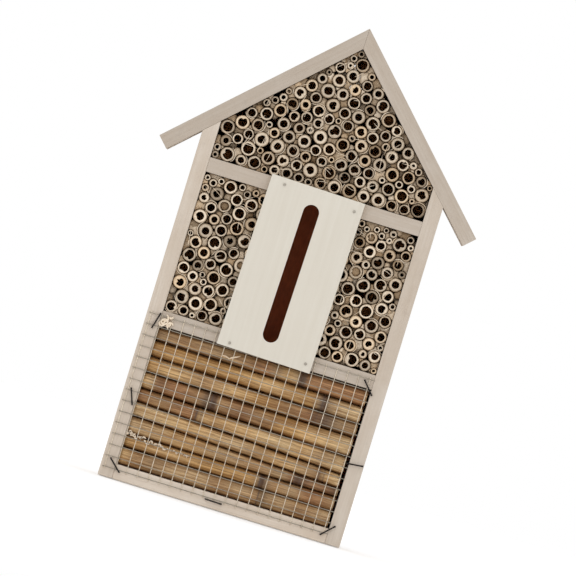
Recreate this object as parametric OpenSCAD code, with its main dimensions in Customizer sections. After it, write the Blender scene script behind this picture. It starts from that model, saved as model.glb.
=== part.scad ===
// Insect hotel: a small pitched-roof wooden house, filled with hollow reed tubes and bamboo canes,
// with a slotted butterfly panel in front of the middle bay and wire mesh in front of the lower bay.
// Millimetres, +Z up. The front faces -Y. The origin is the centre of the floor board's underside.

/* [Body] */
// Width over the two side walls
body_w = 150; // [125:1:180]
// Depth of the walls and roof from front to back
body_d = 70; // [58:1:84]
// Height of the roof apex above the base
house_h = 300; // [250:1:360]
// Thickness of the walls, shelves, floor and roof boards
board_t = 9; // [7.5:0.1:10.8]
// Clear height of the lower bay, between the floor board and the lower shelf
lower_bay_h = 86.2; // [71:0.1:104]
// Thickness of the back panel
back_t = 3; // [2.5:0.5:4]
// How far the back panel sits inside the rear edges of the walls
back_inset = 1; // [0.8:0.1:2]

/* [Roof] */
// Length of each roof board along its outer face
roof_len = 140; // [125:1:168]
// How far the roof is turned clockwise on the walls, seen from the front, in degrees
roof_turn = 1.2; // [0:0.1:1.5]
// Drop from the foot of the roof's underside at the walls to the top of the upper shelf
shelf_drop = 12.8; // [10:0.2:16]

/* [Butterfly panel] */
// Width of the butterfly panel
panel_w = 58; // [48:1:66]
// Thickness of the butterfly panel
panel_t = 3.6; // [3:0.2:4.4]
// Width of the slot, whose ends are round
slot_w = 9.6; // [8:0.1:11.6]
// Plain margin above and below the slot
slot_margin = 10.2; // [9:0.2:13]
// How far the panel is turned clockwise, seen from the front, in degrees
panel_turn = 1.25; // [0:0.05:1.5]
// Thickness of the two dividers beside the chamber behind the panel
divider_t = 5; // [4:0.5:6]

/* [Wire mesh] */
// Thickness of the mesh wire
wire_d = 0.5; // [0.4:0.05:0.7]
// Target spacing of the wires, fitted to a whole number of cells
wire_pitch = 6.8; // [5.6:0.1:8.2]
// Outside width of a staple's crown
staple_w = 10.6; // [10:0.1:11]
// Length of a staple's legs
staple_leg = 8; // [6:0.5:9]

/* [Tubes and canes] */
// Outside radius of the thinnest ordinary tube
tube_r_min = 3.4; // [3.1:0.1:3.7]
// Outside radius of the thickest ordinary tube
tube_r_max = 4.7; // [4.4:0.1:5]
// Share of thin stalks among the tubes
thin_share = 0.14; // [0.05:0.01:0.3]
// Clearance left around every tube and cane
lay_gap = 0.07; // [0.05:0.01:0.12]
// Gap between the canes' right ends and the right wall
cane_end_gap = 2.3; // [2.3:0.1:4]
// Choice of the random mix of tube and cane sizes
mix = 11; // [1:1:40]

/* [Fastenings] */
// Shank radius of the nails that hold the boards
nail_r = 0.7; // [0.6:0.05:0.8]
// Length of the board nails
nail_len = 22; // [18:1:24]
// Length of the nails through a roof board into the wall below it
roof_nail_len = 16; // [13:0.5:17]
// Radial clearance of every nail, screw and staple in its hole
pin_gap = 0.08; // [0.05:0.01:0.12]
// Radius of the round hole of the hanger's keyhole
key_r = 4; // [3.5:0.1:4.5]
// Thickness of the hanger plate
hanger_t = 1.2; // [1:0.1:1.6]

/* [Hidden] */
// Relative thickness of the front canes from the bottom up, at their left and right ends
cane_left = [10.2, 7.4, 10, 8.2, 7.6, 9.1, 8.9, 8.9, 7.8];
cane_right = [9.4, 8.3, 5, 7.6, 10.2, 11.2, 8, 9.6, 9.8];
// Where the node ring of each front cane is, as a share of its length from the left
cane_rings = [0.67, 0.66, 0.81, 0.91, 0.29, 0.34, 0.8, 0.83, 0.7];
cane_rows = len(cane_left);
gable_bundles = 6;
side_bundles = 3;
stack_bundles = 5;

root2 = sqrt(2);
front_y = -body_d / 2;
rear_y = body_d / 2;
in_x = body_w / 2 - board_t;
back_y = rear_y - back_inset - back_t;

// The roof has a frame of its own: its origin is below the apex, level with the eaves.
roof_rise = 100 / 150 * body_w;
roof_z = house_h - roof_rise;
roof_x = 0.3;
ridge_w = roof_rise - board_t * root2;
eave_u = roof_len / root2;
wall_top = house_h - board_t * root2 - body_w / 2;
upper_z = wall_top - shelf_drop - board_t;
lower_z = board_t + lower_bay_h;
middle_h = upper_z - lower_z - board_t;

// Mesh wires: fixed at both edges, with a whole number of cells between them.
mesh_x0 = -body_w / 2 + 2.6;
mesh_x1 = in_x - 2.6;
mesh_z0 = 5.8;
mesh_z1 = lower_z + 5.75;
cells_x = round((mesh_x1 - mesh_x0) / wire_pitch);
cells_z = round((mesh_z1 - mesh_z0) / wire_pitch);
pitch_x = (mesh_x1 - mesh_x0) / cells_x;
pitch_z = (mesh_z1 - mesh_z0) / cells_z;
weld_gap = 0.05;
upright_y = front_y - weld_gap - wire_d / 2;
cross_y = upright_y - wire_d - weld_gap;
mesh_front = cross_y - wire_d / 2;
stub = 1.4;

// The panel's back rests on the upper shelf at its top and on the mesh near its bottom.
panel_h = upper_z + board_t - lower_z + 1.7;
panel_z = lower_z - 1 + panel_h / 2;
panel_lean = asin((front_y - mesh_front + 0.05) / (panel_z + panel_h / 2 - mesh_z1 - 1));
panel_back = front_y - 0.02 - sin(panel_lean) * panel_h / 2;
slot_h = panel_h - 2 * slot_margin;
divider_x = panel_w / 2 - 7.5;

brad_r = 0.55;
brad_len = 13;
wire_side = 0.9;
key_slot = 4.6;
screw_r = 1.4;

function slice(list, k, parts) =
    let (n = len(list))
    [for (i = [floor(n * (k - 1) / parts) : floor(n * k / parts) - 1]) list[i]];

function lowest(spots) =
    let (heights = [for (s = spots) s[0]])
    spots[search(min(heights), heights)[0]];

// Height where a rod of radius r comes to rest at x, on the floor or on the rods already laid.
function rest_height(x, r, laid, base) =
    max(concat([base + r + lay_gap], [
        for (t = laid)
            let (reach = t[2] + r + lay_gap, dx = abs(x - t[0]))
            if (dx < reach) t[1] + sqrt(reach * reach - dx * dx)
    ]));

// Whether a rod stays under the shelf, or under both roof boards when top is undef.
function has_room(x, z, r, top) =
    is_undef(top)
        ? let (
            u = (x - roof_x) * cos(roof_turn) - (z - roof_z) * sin(roof_turn),
            w = (x - roof_x) * sin(roof_turn) + (z - roof_z) * cos(roof_turn)
          ) w + abs(u) + (r + lay_gap) * root2 <= ridge_w
        : z + r + lay_gap <= top;

// Lays rods one after another, each in the lowest place that is left for it.
function lay(sizes, lo, hi, base, top, laid = [], i = 0) =
    i >= len(sizes) ? laid :
    let (
        r = sizes[i],
        a = lo + r + lay_gap,
        b = hi - r - lay_gap,
        steps = ceil((b - a) / 0.6),
        spots = [
            for (k = [0 : steps])
                let (x = a + (b - a) * k / steps, z = rest_height(x, r, laid, base))
                if (has_room(x, z, r, top)) [z, x]
        ],
        best = len(spots) == 0 ? undef : lowest(spots)
    )
    lay(sizes, lo, hi, base, top, is_undef(best) ? laid : concat(laid, [[best[1], best[0], r]]), i + 1);

// Ordinary tubes with thin stalks among them, then thin stalks that fill what is left.
function tube_sizes(n, extra, seed) =
    let (
        pick = rands(0, 1, n, seed),
        size = rands(0, 1, n + extra, seed + 1),
        spare = rands(0, 1, ceil(n / 3), seed + 2)
    )
    concat(
        [for (i = [0 : n - 1])
            pick[i] < thin_share
                ? 1.9 + 0.9 * size[i]
                : tube_r_min + (tube_r_max - tube_r_min) * size[i]],
        [for (i = [n : n + extra - 1]) 1.8 + 0.8 * size[i]],
        [for (v = spare) tube_r_min + (tube_r_max - tube_r_min) * v]
    );

// How many tubes are offered to a bay of this area; those that find no room are left out.
function tube_count(area, share) =
    let (r = (tube_r_min + tube_r_max) / 2)
    round(share * area / (r * r));

function gable_layout() =
    let (area = 2 * in_x * shelf_drop + in_x * in_x)
    lay(tube_sizes(tube_count(area, 0.38), round(0.00496 * area), mix),
        -in_x, in_x, upper_z + board_t, undef);

function side_layout(side) =
    let (outer = in_x, inner = divider_x, area = (outer - inner) * middle_h)
    lay(tube_sizes(tube_count(area, 0.248), round(0.00365 * area), mix + 5 + side),
        side < 0 ? -outer : inner, side < 0 ? -inner : outer, lower_z + board_t, upper_z);

// Heights and radii of the front canes at one end; side is 0 for the left and 1 for the right.
function cane_radii(side) =
    let (
        raw = side == 0 ? cane_left : cane_right,
        sum = raw * [for (i = raw) 1],
        free = lower_z - board_t - lay_gap * (cane_rows + 1) - 0.7
    )
    [for (v = raw) v / sum * free / 2];

function cane_height(radii, i) =
    board_t + lay_gap * (i + 1) + radii[i]
    + (i == 0 ? 0 : 2 * ([for (j = [0 : i - 1]) radii[j]] * [for (j = [0 : i - 1]) 1]));

cane_r_max = max(max(cane_radii(0)), max(cane_radii(1)));
cane_y = front_y + 0.5 + cane_r_max;
stack_y = cane_y + cane_r_max;

function stack_layout() =
    let (size = rands(4.0, 5.3, 70, mix + 9))
    lay([for (s = size) s], stack_y, back_y, board_t, lower_z);

module at_roof() {
    translate([roof_x, 0, roof_z])
        rotate([0, roof_turn, 0])
            children();
}

// Draws a front-view outline, x across and z up, with its depth from y0 to y1.
module upright_plate(y0, y1) {
    translate([0, y1, 0])
        rotate([90, 0, 0])
            linear_extrude(height = y1 - y0)
                children();
}

module board(x0, x1, z0, z1, y0, y1) {
    translate([x0, y0, z0])
        cube([x1 - x0, y1 - y0, z1 - z0]);
}

// A nail along +Z with its flat head's top at 0 and its point below.
module nail(r, head_r, head_t, length) {
    rotate_extrude($fn = 32)
        polygon([
            [0, 0], [head_r, 0], [head_r, -head_t], [r, -head_t],
            [r, -length + 2 * r], [r * 0.2, -length], [0, -length]
        ]);
}

// The hole for such a nail; the head is let in and its hole runs out of the wood by out.
module nail_hole(r, head_r, head_t, length, out) {
    translate([0, 0, -length - 0.4])
        cylinder(h = length + 0.4 + out, r = r + pin_gap, $fn = 32);
    translate([0, 0, -head_t - 0.05])
        cylinder(h = head_t + 0.05 + out, r = head_r + pin_gap, $fn = 32);
}

// Places the nails that go through a wall into the ends of the floor and the two shelves.
module at_wall_nails(side) {
    for (z = [board_t / 2, lower_z + board_t / 2, upper_z + board_t / 2])
        for (y = [front_y + 14, back_y - 12])
            translate([side * (body_w / 2 - 0.1), y, z])
                rotate([0, side * 90, 0])
                    children();
}

// Places the nails that go through a roof board: two into its wall and two near the ridge.
// The part of each nail that is in the wall lies halfway through the wall's thickness.
module at_roof_nails(side) {
    x = in_x + board_t / 2 + (roof_nail_len + board_t) / (2 * root2);
    at_roof()
        for (y = [front_y + 14, back_y - 12]) {
            translate([side * x, y, roof_rise - x])
                rotate([0, side * 45, 0])
                    translate([0, 0, -0.1])
                        children();
        }
}

module at_ridge_nails() {
    at_roof()
        for (y = [front_y + 20, 0, back_y - 18])
            translate([4.5 / root2, y, roof_rise - 4.5 / root2])
                rotate([0, 45, 0])
                    translate([0, 0, -0.1])
                        children();
}

module board_nail(length) {
    nail(nail_r, 1.5, 0.7, length);
}

module board_nail_hole(length) {
    nail_hole(nail_r, 1.5, 0.7, length, 2);
}

// Distance from v to the nearest of the wires that stand a pitch apart from first on.
function wire_gap(v, first, pitch, cells) =
    abs(v - first - pitch * min(max(round((v - first) / pitch), 0), cells));

// Whether both legs of a staple miss the wires.
function legs_clear(x, z, turn) =
    let (
        reach = wire_side / 2 * (abs(cos(turn)) + abs(sin(turn))) + wire_d / 2 + 0.02,
        hits = [
            for (e = [-1, 1])
                let (
                    lx = x + e * (staple_w - wire_side) / 2 * cos(turn),
                    lz = z + e * (staple_w - wire_side) / 2 * sin(turn),
                    in_reach_x = lx > mesh_x0 - stub - reach && lx < mesh_x1 + stub + reach,
                    in_reach_z = lz > mesh_z0 - stub - reach && lz < mesh_z1 + stub + reach
                )
                if (in_reach_x && in_reach_z && (wire_gap(lx, mesh_x0, pitch_x, cells_x) < reach
                    || wire_gap(lz, mesh_z0, pitch_z, cells_z) < reach)) 1
        ]
    )
    len(hits) == 0;

// The staple where it is wanted, or moved aside by the least that clears the wires.
function clear_staple(s) =
    [
        for (d = [0 : 0.3 : 3])
            for (a = [0 : 45 : 315])
                let (x = s[0] + d * cos(a), z = s[1] + d * sin(a))
                if (legs_clear(x, z, s[2])) [x, z, s[2]]
    ][0];

// Crown centres and angles of the seven staples that hold the mesh.
function staples() =
    let (
        mid_z = mesh_z0 + pitch_z * (round(cells_z * 0.45) + 0.5),
        mid_x = mesh_x0 + pitch_x * round(cells_x * 0.5)
    )
    [for (s = [
        [-in_x - 2.2, mesh_z1 - 3.6, 75],
        [-in_x - 3.0, mid_z, -70],
        [-in_x - 0.6, mesh_z0 + 2.2, -43],
        [mid_x, mesh_z0 - 1.4, -1.6],
        [in_x - 2.3, mesh_z1 - 5.1, -49],
        [in_x + 3.35, mid_z - 0.2, 6],
        [in_x - 0.6, mesh_z0 + 2.0, 45]
    ]) clear_staple(s)];

module staple(grow) {
    s = wire_side + 2 * grow;
    span = staple_w - wire_side;
    for (x = [-span / 2, span / 2])
        translate([x - s / 2, -s / 2, -staple_leg - wire_side - grow])
            cube([s, s, staple_leg + wire_side + grow]);
    translate([-span / 2 - s / 2, -s / 2, -wire_side])
        cube([span + s, s, wire_side]);
}

module at_staples() {
    for (s = staples())
        translate([s[0], mesh_front - 0.05 - wire_side, s[1]])
            rotate([0, -s[2], 0])
                rotate([90, 0, 0])
                    children();
}

// Brads of the butterfly panel: the lower two miss the mesh wires.
function off_wire(x) =
    let (c = floor((x - mesh_x0) / pitch_x))
    min(max(x, mesh_x0 + c * pitch_x + 1.1), mesh_x0 + (c + 1) * pitch_x - 1.1);

function brads() = [
    [-panel_w / 2 + 10.1, upper_z + board_t * 0.68],
    [panel_w / 2 - 3.8, upper_z + board_t * 0.32],
    [off_wire(-panel_w / 2 + 6.3), mesh_z1 - 3.6],
    [off_wire(panel_w / 2 - 5), mesh_z1 - 2.4]
];

function panel_front_at(z) = panel_back - panel_t / cos(panel_lean) + (z - panel_z) * tan(panel_lean);

module at_brads() {
    for (b = brads())
        translate([b[0], panel_front_at(b[1]) - 0.5, b[1]])
            rotate([90, 0, 0])
                children();
}

module brad_holes() {
    at_brads()
        translate([0, 0, -brad_len - 0.3])
            cylinder(h = brad_len + 4, r = brad_r + pin_gap, $fn = 24);
}

module at_panel() {
    translate([0.1, panel_back, panel_z])
        rotate([-panel_lean, 0, 0])
            rotate([0, panel_turn, 0])
                children();
}

module at_hanger_screws() {
    at_roof()
        for (u = [-1, 1])
            translate([u * (ridge_w - hanger_w0 + 3), rear_y, hanger_w0])
                rotate([-90, 0, 0])
                    children();
}

hanger_w0 = ridge_w - 17;

// Everything above the undersides of the roof boards, used to cut the wall tops.
module above_roof(y0, y1) {
    at_roof()
        upright_plate(y0, y1)
            polygon([
                [-body_w, ridge_w - body_w], [0, ridge_w], [body_w, ridge_w - body_w],
                [body_w, ridge_w + body_w], [-body_w, ridge_w + body_w]
            ]);
}

module wall(side) {
    difference() {
        board(side < 0 ? -body_w / 2 : in_x, side < 0 ? -in_x : body_w / 2, 0, wall_top + board_t * 2, front_y, rear_y);
        above_roof(front_y - 1, rear_y + 1);
        at_wall_nails(side) board_nail_hole(nail_len);
        at_roof_nails(side) board_nail_hole(roof_nail_len);
        at_staples() staple(pin_gap);
    }
}

module left_wall() {
    color([0.78, 0.73, 0.68]) wall(-1);
}

module right_wall() {
    color([0.78, 0.73, 0.68]) wall(1);
}

module shelf(z) {
    difference() {
        board(-in_x, in_x, z, z + board_t, front_y, back_y);
        for (side = [-1, 1])
            at_wall_nails(side) board_nail_hole(nail_len);
        at_back_nails() small_nail_hole();
        at_staples() staple(pin_gap);
        brad_holes();
    }
}

module floor_board() {
    color([0.79, 0.74, 0.69]) shelf(0);
}

module lower_shelf() {
    color([0.79, 0.74, 0.69]) shelf(lower_z);
}

module upper_shelf() {
    color([0.79, 0.74, 0.69]) shelf(upper_z);
}

module roof_board(side) {
    difference() {
        at_roof()
            upright_plate(front_y, rear_y)
                polygon([
                    [0, roof_rise],
                    [side * eave_u, roof_rise - eave_u],
                    [side * (eave_u - board_t / root2), roof_rise - eave_u - board_t / root2],
                    [0, ridge_w]
                ]);
        at_roof_nails(side) board_nail_hole(roof_nail_len);
        at_ridge_nails() board_nail_hole(nail_len);
        at_hanger_screws() screw_hole();
    }
}

module roof_left() {
    color([0.74, 0.68, 0.62]) roof_board(-1);
}

module roof_right() {
    color([0.74, 0.68, 0.62]) roof_board(1);
}

// Small nails through the back panel into the rear edges of the floor and shelves.
module at_back_nails() {
    for (z = [board_t / 2, lower_z + board_t / 2, upper_z + board_t / 2])
        for (x = [-in_x * 0.75, 0, in_x * 0.75])
            translate([x, back_y + back_t + 0.5, z])
                rotate([-90, 0, 0])
                    children();
}

module small_nail_hole() {
    translate([0, 0, -11.4])
        cylinder(h = 15, r = 0.5 + pin_gap, $fn = 24);
}

module back_panel() {
    color([0.36, 0.22, 0.14])
        difference() {
            board(-in_x, in_x, 0, house_h, back_y, back_y + back_t);
            above_roof(back_y - 1, back_y + back_t + 1);
            at_back_nails() small_nail_hole();
            at_roof()
                board(-6.5, 6.5, hanger_w0 - 7, hanger_w0 + 10, back_y - 1, rear_y);
        }
}

module back_panel_nails() {
    color([0.6, 0.6, 0.58])
        at_back_nails() nail(0.5, 1.3, 0.45, 11);
}

module left_wall_nails() {
    color([0.6, 0.6, 0.58])
        at_wall_nails(-1) board_nail(nail_len);
}

module right_wall_nails() {
    color([0.6, 0.6, 0.58])
        at_wall_nails(1) board_nail(nail_len);
}

module roof_nails() {
    color([0.6, 0.6, 0.58]) {
        at_roof_nails(-1) board_nail(roof_nail_len);
        at_roof_nails(1) board_nail(roof_nail_len);
        at_ridge_nails() board_nail(nail_len);
    }
}

module divider(side) {
    color([0.72, 0.6, 0.45])
        board(side < 0 ? -divider_x : divider_x - divider_t, side < 0 ? -divider_x + divider_t : divider_x,
            lower_z + board_t, upper_z, front_y, back_y);
}

// Butterfly panel: thin plywood with one tall slot.
module butterfly_panel() {
    color([0.87, 0.85, 0.79])
        difference() {
            at_panel()
                difference() {
                    board(-panel_w / 2, panel_w / 2, -panel_h / 2, panel_h / 2, -panel_t, 0);
                    board(-slot_w / 2, slot_w / 2, -(slot_h - slot_w) / 2, (slot_h - slot_w) / 2, -panel_t - 1, 1);
                    for (z = [-1, 1])
                        translate([0, 1, z * (slot_h - slot_w) / 2])
                            rotate([90, 0, 0])
                                cylinder(h = panel_t + 2, r = slot_w / 2, $fn = 64);
                }
            brad_holes();
        }
}

module butterfly_panel_brads() {
    color([0.35, 0.33, 0.32])
        at_brads() nail(brad_r, 0.9, 0.45, brad_len);
}

module wire_mesh() {
    color([0.72, 0.73, 0.74]) {
        for (i = [0 : cells_x])
            translate([mesh_x0 + i * pitch_x, upright_y, mesh_z0 - stub])
                cylinder(h = mesh_z1 - mesh_z0 + 2 * stub, r = wire_d / 2, $fn = 16);
        for (j = [0 : cells_z])
            translate([mesh_x0 - stub, cross_y, mesh_z0 + j * pitch_z])
                rotate([0, 90, 0])
                    cylinder(h = mesh_x1 - mesh_x0 + 2 * stub + 1.4, r = wire_d / 2, $fn = 16);
    }
}

module mesh_staples() {
    color([0.12, 0.12, 0.13])
        at_staples() staple(0);
}

// Hanger: a keyhole plate over the rear edges of both roof boards.
module hanger_plate() {
    half = (ridge_w - hanger_w0) + 3;
    color([0.66, 0.67, 0.69])
        difference() {
            at_roof()
                translate([0, 0, hanger_w0])
                    upright_plate(rear_y, rear_y + hanger_t)
                        difference() {
                            polygon([[-half - 6.5, -4.5], [half + 6.5, -4.5], [half - 4.5, 11.5], [4.5 - half, 11.5]]);
                            circle(r = key_r, $fn = 48);
                            translate([-key_slot / 2, 0])
                                square([key_slot, 6]);
                            translate([0, 6])
                                circle(r = key_slot / 2, $fn = 32);
                        }
            at_hanger_screws() screw_hole();
        }
}

module screw_hole() {
    translate([0, 0, -12.4])
        cylinder(h = 20, r = screw_r + pin_gap, $fn = 32);
}

module hanger_screws() {
    color([0.7, 0.71, 0.73])
        at_hanger_screws()
            translate([0, 0, hanger_t + 1.6 + 0.02])
                nail(screw_r, 3, 1.6, 13.5);
}

// One cane lying along +X from 0: slightly tapered, with a swollen ring and a closed wall at its node.
module cane(length, r0, r1, ring_at) {
    ring = length * ring_at;
    r = r0 + (r1 - r0) * ring_at;
    bore = min(r0, r1) * 0.52;
    rotate([0, 90, 0])
        rotate_extrude($fn = 48)
            polygon([
                [bore, 0], [r0, 0], [r - 0.12, ring - 2.2], [r, ring - 0.7], [r, ring + 0.7], [r - 0.12, ring + 2.2],
                [r1, length], [bore, length], [bore, ring + 1], [0, ring + 1], [0, ring - 1], [bore, ring - 1]
            ]);
}

module front_cane(k) {
    left = cane_radii(0);
    right = cane_radii(1);
    z0 = cane_height(left, k - 1);
    z1 = cane_height(right, k - 1);
    run = 2 * in_x - cane_end_gap - 0.6;
    tones = rands(0.5, 0.78, cane_rows, mix + 3);
    lean = atan((z1 - z0) / run);
    color([tones[k - 1], tones[k - 1] * 0.78, tones[k - 1] * 0.5])
        translate([-in_x + 0.6, cane_y, z0])
            rotate([0, -lean, 0])
                cane(run / cos(lean), left[k - 1], right[k - 1], cane_rings[k - 1]);
}

module cane_stack(k) {
    all = slice(stack_layout(), k, stack_bundles);
    color([0.7, 0.55, 0.35])
        for (c = all)
            translate([-in_x + 0.6 + (c[2] - 4) * 0.4, c[0], c[1]])
                cane(2 * in_x - cane_end_gap - 1.2, c[2], c[2] - 0.1, 0.3 + 0.4 * abs(sin(c[0] * 50 + c[1] * 31)));
}

function whim(t) = abs(sin(t[0] * 97 + t[1] * 53));

function tube_bore(t) = t[2] * (t[2] < 2.9 ? 0.42 + 0.2 * whim(t) : 0.5 + 0.22 * whim(t));

// A tube with an open bore; its front end is set back a little and its rear end is near the back panel.
module tube(t) {
    shift = abs(sin(t[0] * 41 + t[1] * 89));
    y0 = front_y + 0.6 + 2.6 * shift * shift;
    y1 = back_y - 0.3 - 0.5 * whim(t);
    translate([t[0], y1, t[1]])
        rotate([90, 0, 0])
            difference() {
                cylinder(h = y1 - y0, r = t[2], $fn = 48);
                translate([0, 0, -1])
                    cylinder(h = y1 - y0 + 2, r = tube_bore(t), $fn = 48);
            }
}

module tubes(list) {
    color([0.74, 0.67, 0.55])
        for (t = list) tube(t);
}

left_wall();
right_wall();
floor_board();
lower_shelf();
upper_shelf();
roof_left();
roof_right();
back_panel();
divider(-1);  // divider_left
divider(1);  // divider_right
butterfly_panel();
butterfly_panel_brads();
wire_mesh();
mesh_staples();
left_wall_nails();
right_wall_nails();
roof_nails();
back_panel_nails();
hanger_plate();
hanger_screws();
for (k = [1 : cane_rows])
    front_cane(k);
for (k = [1 : stack_bundles])
    cane_stack(k);
for (k = [1 : gable_bundles])
    tubes(slice(gable_layout(), k, gable_bundles));
for (k = [1 : side_bundles])
    tubes(slice(side_layout(-1), k, side_bundles));
for (k = [1 : side_bundles])
    tubes(slice(side_layout(1), k, side_bundles));
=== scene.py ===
import math
import random

import bmesh
import bpy
import numpy as np
from mathutils import Matrix, Vector, noise
from mathutils.geometry import delaunay_2d_cdt


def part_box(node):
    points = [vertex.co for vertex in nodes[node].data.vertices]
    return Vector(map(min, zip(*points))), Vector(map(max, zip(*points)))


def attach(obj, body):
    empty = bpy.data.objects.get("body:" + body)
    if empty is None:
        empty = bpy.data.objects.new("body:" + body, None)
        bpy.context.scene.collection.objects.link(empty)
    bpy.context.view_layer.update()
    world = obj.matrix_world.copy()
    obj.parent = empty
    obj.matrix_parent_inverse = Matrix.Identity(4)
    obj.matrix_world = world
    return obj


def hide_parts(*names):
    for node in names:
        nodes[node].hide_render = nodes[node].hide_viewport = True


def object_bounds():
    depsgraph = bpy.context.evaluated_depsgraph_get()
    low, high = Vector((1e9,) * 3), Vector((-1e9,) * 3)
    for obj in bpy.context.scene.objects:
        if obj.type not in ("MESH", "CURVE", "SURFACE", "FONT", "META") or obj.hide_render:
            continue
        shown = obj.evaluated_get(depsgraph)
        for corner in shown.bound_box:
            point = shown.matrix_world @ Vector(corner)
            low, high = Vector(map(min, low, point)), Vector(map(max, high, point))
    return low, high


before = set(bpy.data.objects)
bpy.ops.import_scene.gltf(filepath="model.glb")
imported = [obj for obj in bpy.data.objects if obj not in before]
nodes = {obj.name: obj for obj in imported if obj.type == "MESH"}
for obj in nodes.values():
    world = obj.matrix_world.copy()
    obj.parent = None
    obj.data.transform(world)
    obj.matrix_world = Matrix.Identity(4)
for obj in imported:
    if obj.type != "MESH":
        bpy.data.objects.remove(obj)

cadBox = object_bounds()
print("frame loaded,", len(nodes), "parts")


# helpers for shapes

def loosePieces(nodeName):
    # corner points of each separate solid in a node, welded where faces share them
    mesh = nodes[nodeName].data
    points = np.empty(len(mesh.vertices) * 3)
    mesh.vertices.foreach_get("co", points)
    points = points.reshape(-1, 3)
    keys, welded = np.unique(np.round(points * 1e6).astype(np.int64), axis=0, return_inverse=True)
    welded = welded.reshape(-1)
    owner = list(range(len(keys)))

    def top(i):
        while owner[i] != i:
            owner[i] = owner[owner[i]]
            i = owner[i]
        return i

    for face in mesh.polygons:
        corners = [top(int(welded[v])) for v in face.vertices]
        for c in corners[1:]:
            owner[top(c)] = top(corners[0])
    groups = {}
    for i in range(len(keys)):
        groups.setdefault(top(i), []).append(i)
    found = [keys[g] / 1e6 for g in groups.values()]
    found.sort(key=lambda p: (round(p[:, 2].min(), 4), round(p[:, 0].min(), 4)))
    return found


def addPiece(name, verts, faces, material, standsFor=(), colours=None):
    mesh = bpy.data.meshes.new(name)
    mesh.from_pydata([tuple(v) for v in verts], [], faces)
    mesh.validate()
    if colours is not None:
        layer = mesh.color_attributes.new("shade", "FLOAT_COLOR", "POINT")
        layer.data.foreach_set("color", np.asarray(colours, np.float32).reshape(-1))
    work = bmesh.new()
    work.from_mesh(mesh)
    bmesh.ops.recalc_face_normals(work, faces=work.faces)
    work.to_mesh(mesh)
    work.free()
    for face in mesh.polygons:
        face.use_smooth = True
    piece = bpy.data.objects.new(name, mesh)
    bpy.context.scene.collection.objects.link(piece)
    mesh.materials.append(material)
    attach(piece, "root")
    if standsFor:
        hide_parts(*standsFor)
    return piece


def fan(faces, hub, rim, count):
    # closes a ring of corner points with triangles round one point
    for i in range(count):
        faces.append((hub, rim + i, rim + (i + 1) % count))


def band(faces, first, second, count):
    # a closed strip of faces between two rings of corner points
    for i in range(count):
        k = (i + 1) % count
        faces.append((first + i, first + k, second + k, second + i))


def skinRings(faces, start, rings, sides):
    # faces over a row of rings, closed at both ends
    for j in range(1, rings):
        band(faces, start + (j - 1) * sides, start + j * sides, sides)
    faces.append(tuple(start + i for i in range(sides))[::-1])
    faces.append(tuple(start + (rings - 1) * sides + i for i in range(sides)))


def atRandom(rng, pair):
    # a random amount: the least it can be and the room above that
    return pair[0] + pair[1] * rng.random()


def wobble(x, y, z, seed=0.0):
    return noise.noise(Vector((x + seed * 13.7, y - seed * 7.1, z + seed * 3.3)))


# helpers for materials

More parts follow.
